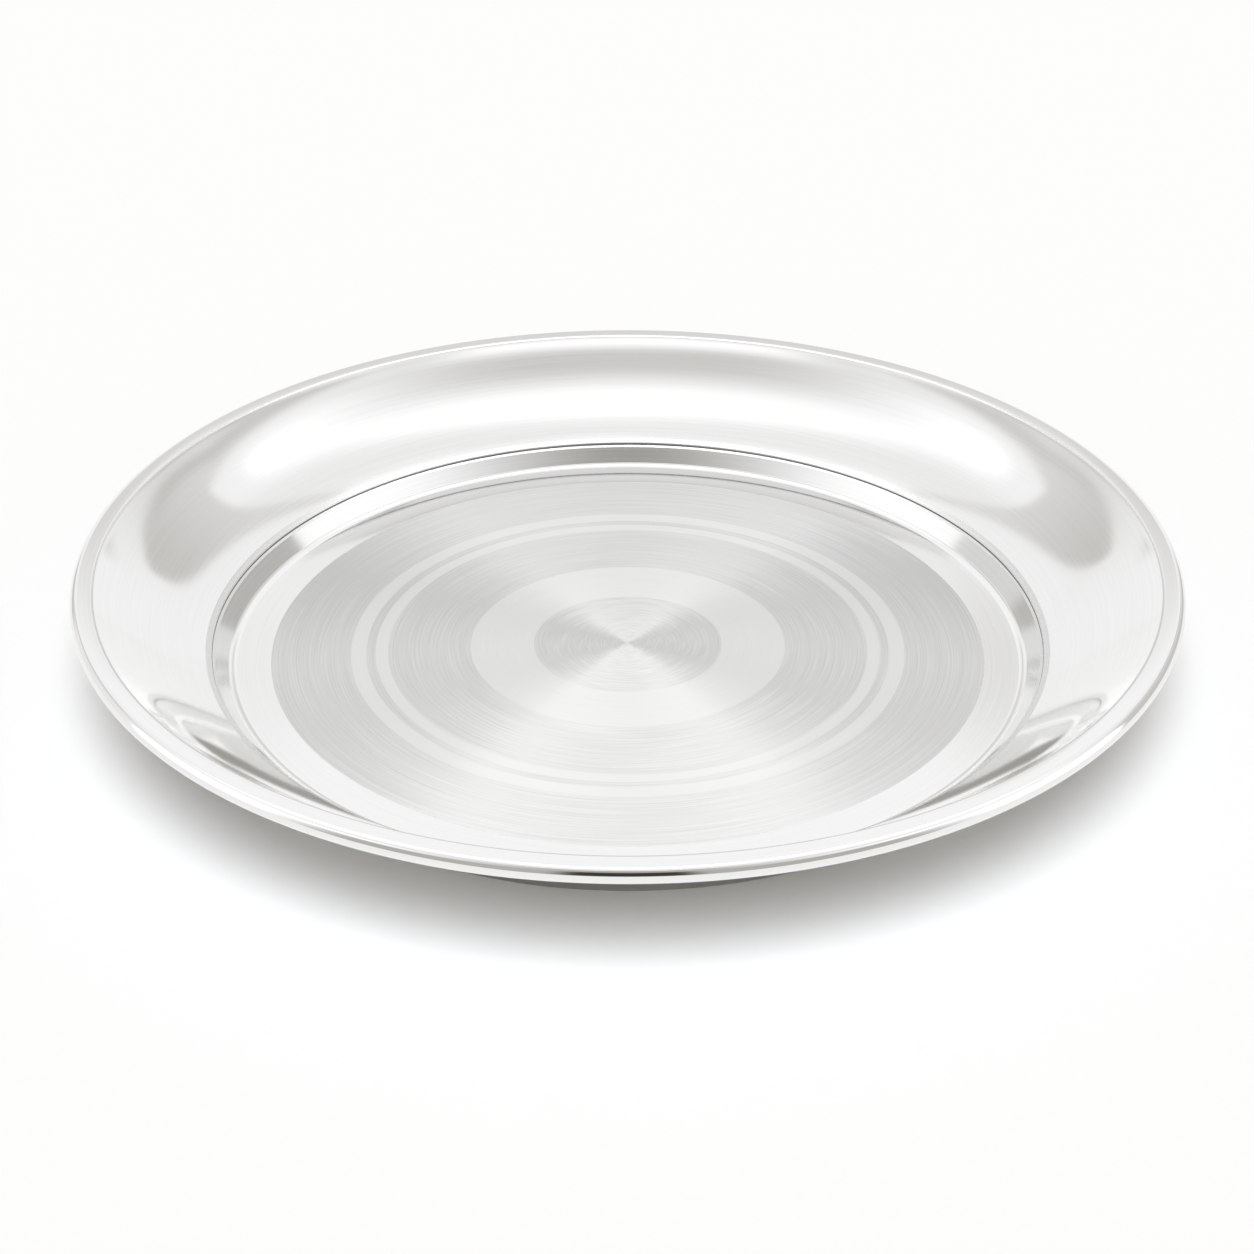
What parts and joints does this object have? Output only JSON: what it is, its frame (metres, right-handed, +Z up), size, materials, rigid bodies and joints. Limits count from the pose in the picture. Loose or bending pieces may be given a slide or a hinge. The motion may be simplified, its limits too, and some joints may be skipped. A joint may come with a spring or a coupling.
{
  "type": "thali plate",
  "caption": "Round stainless-steel thali with a flat brushed floor, a shallow well, a wide polished flared rim with a wired edge and a splayed foot ring, for serving a meal.",
  "frame": {"origin": "centre of the circle that the foot ring stands on", "axes": "+Z up along the plate's axis; X and Y lie in the table's plane"},
  "size_m": [0.3, 0.3, 0.0347],
  "materials": {
    "polished_steel": "mirror polish, with concentric brushed bands on the floor",
    "wire_steel": "drawn wire",
    "satin_steel": "satin"
  },
  "bodies": {
    "root": {"plate_body": "polished_steel", "rim_wire": "wire_steel", "foot_ring": "satin_steel"}
  },
  "joints": []
}
